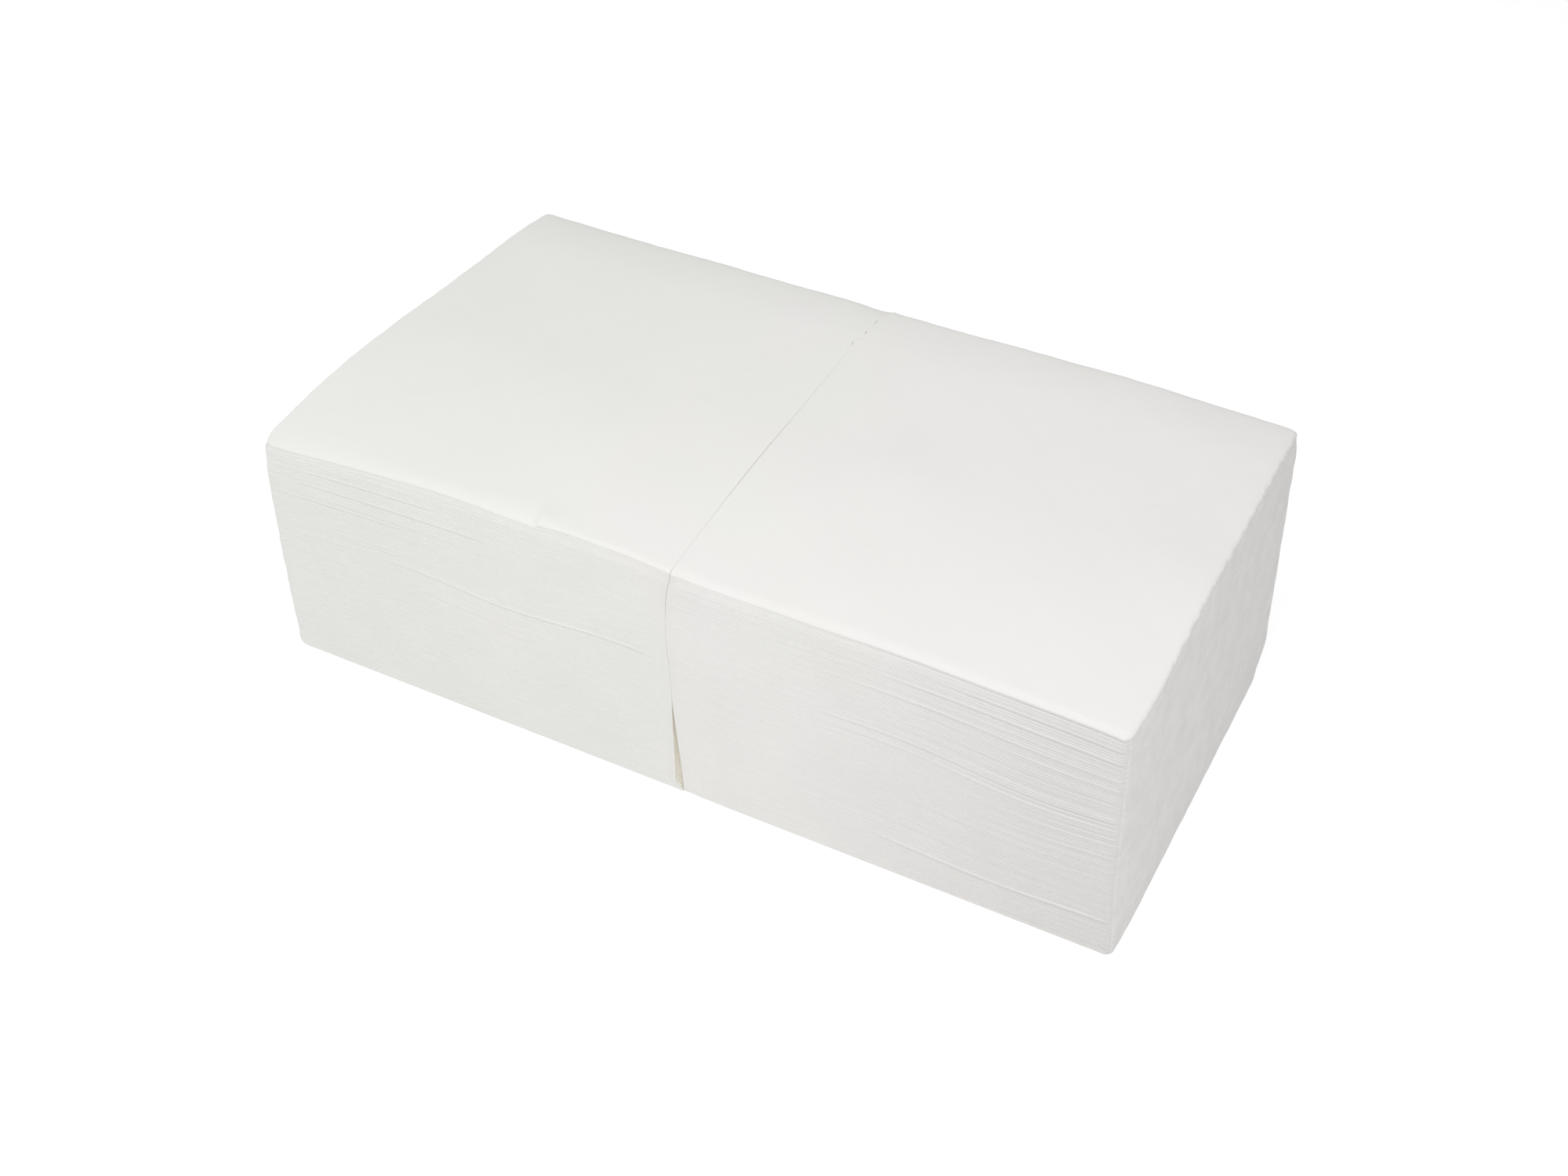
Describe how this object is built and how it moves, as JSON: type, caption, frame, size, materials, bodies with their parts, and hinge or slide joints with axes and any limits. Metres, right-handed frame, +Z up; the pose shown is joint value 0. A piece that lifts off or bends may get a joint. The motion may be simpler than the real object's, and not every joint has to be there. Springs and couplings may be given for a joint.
{
  "type": "stack of paper napkins",
  "caption": "Two square stacks of white quarter-folded paper napkins side by side, closed folds to the front, soft edges, a narrow wedge open between them at the foot",
  "frame": {"origin": "middle of the bottom of the box that holds both stacks, on the surface they stand on", "axes": "+X along the pair towards the first folds, +Y from the closed second folds to the open back, +Z up"},
  "size_m": [0.333, 0.1667, 0.106],
  "materials": {
    "tissue": "matt white two-ply tissue, finely creped"
  },
  "bodies": {
    "root": {"left_napkins_01": "tissue", "left_napkins_02": "tissue", "left_napkins_03": "tissue", "left_napkins_04": "tissue", "left_napkins_05": "tissue", "left_napkins_06": "tissue", "left_napkins_07": "tissue", "left_napkins_08": "tissue", "left_napkins_09": "tissue", "left_napkins_10": "tissue", "left_napkins_11": "tissue", "left_napkins_12": "tissue", "left_napkins_13": "tissue", "left_napkins_14": "tissue", "left_napkins_15": "tissue", "left_napkins_16": "tissue", "left_napkins_17": "tissue", "left_napkins_18": "tissue", "left_napkins_19": "tissue", "left_napkins_20": "tissue", "left_napkins_21": "tissue", "left_napkins_22": "tissue", "left_napkins_23": "tissue", "left_napkins_24": "tissue", "left_napkins_25": "tissue", "right_napkins_01": "tissue", "right_napkins_02": "tissue", "right_napkins_03": "tissue", "right_napkins_04": "tissue", "right_napkins_05": "tissue", "right_napkins_06": "tissue", "right_napkins_07": "tissue", "right_napkins_08": "tissue", "right_napkins_09": "tissue", "right_napkins_10": "tissue", "right_napkins_11": "tissue", "right_napkins_12": "tissue", "right_napkins_13": "tissue", "right_napkins_14": "tissue", "right_napkins_15": "tissue", "right_napkins_16": "tissue", "right_napkins_17": "tissue", "right_napkins_18": "tissue", "right_napkins_19": "tissue", "right_napkins_20": "tissue", "right_napkins_21": "tissue", "right_napkins_22": "tissue", "right_napkins_23": "tissue", "right_napkins_24": "tissue", "right_napkins_25": "tissue", "left_top_napkin": "tissue", "right_top_napkin": "tissue"}
  },
  "joints": []
}
